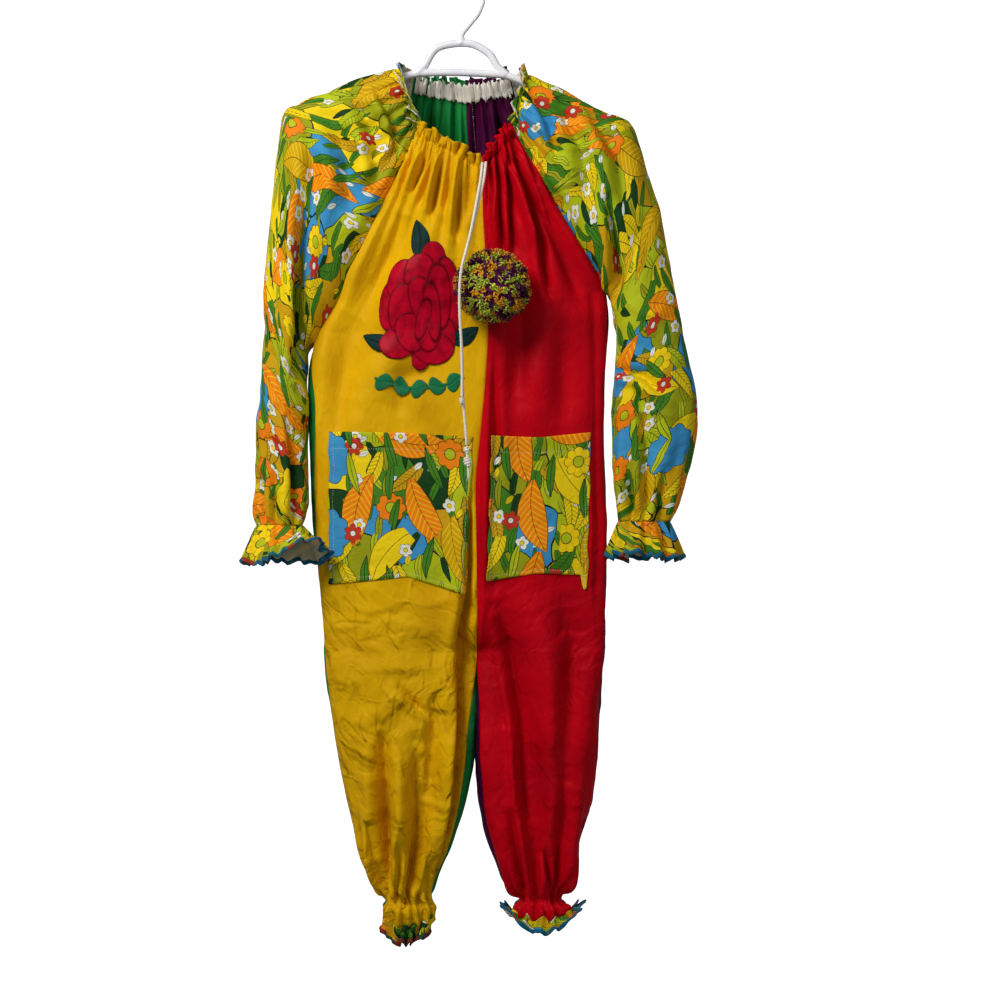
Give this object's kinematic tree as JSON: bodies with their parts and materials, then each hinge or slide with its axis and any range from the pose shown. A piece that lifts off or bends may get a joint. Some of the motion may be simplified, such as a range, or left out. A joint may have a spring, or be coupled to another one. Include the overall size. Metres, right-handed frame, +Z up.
{
  "type": "clown jumpsuit on a hanger",
  "caption": "One-piece clown costume with gathered neck, raglan sleeves, patch pockets, ruffled cuffs and a pompom, on a clothes hanger.",
  "frame": {"origin": "inside top of the hanger's hook, where it rests on a rail", "axes": "+Z up, +Y towards the back of the garment, +X towards the viewer's right as seen from the front"},
  "size_m": [0.6317, 0.1829, 1.3557],
  "materials": {
    "yellow": "plain woven cotton",
    "red": "plain woven cotton",
    "green": "plain woven cotton",
    "purple": "plain woven cotton",
    "cream": "plain woven cotton",
    "print": "printed cotton",
    "rose": "padded satin-like cloth",
    "leaf": "padded satin-like cloth",
    "stitch": "satin stitch",
    "teal": "bias tape",
    "yarn": "fluffy yarn",
    "cord": "twisted cotton",
    "plastic": "smooth"
  },
  "bodies": {
    "root": {"front_left": "yellow", "front_right": "red", "back_left": "green", "back_right": "purple", "sleeve_left": "print", "sleeve_right": "print", "neck_facing": "cream", "pocket_left": "print", "pocket_right": "print", "wrist_ruffle_left": "print", "wrist_ruffle_right": "print", "ankle_ruffle_left": "print", "ankle_ruffle_right": "print", "wrist_binding_left": "teal", "wrist_binding_right": "teal", "ankle_binding_left": "rose", "ankle_binding_right": "teal", "rose_flower": "rose", "rose_leaf_top": "leaf", "rose_leaf_left": "leaf", "rose_leaf_right": "leaf", "leaf_garland": "stitch", "pompom": "yarn", "drawstring_long": "cord", "drawstring_short": "cord", "drawstring_bead": "cord", "drawstring_knot": "cord", "hanger_frame": "plastic", "hanger_hook": "plastic"}
  },
  "joints": []
}
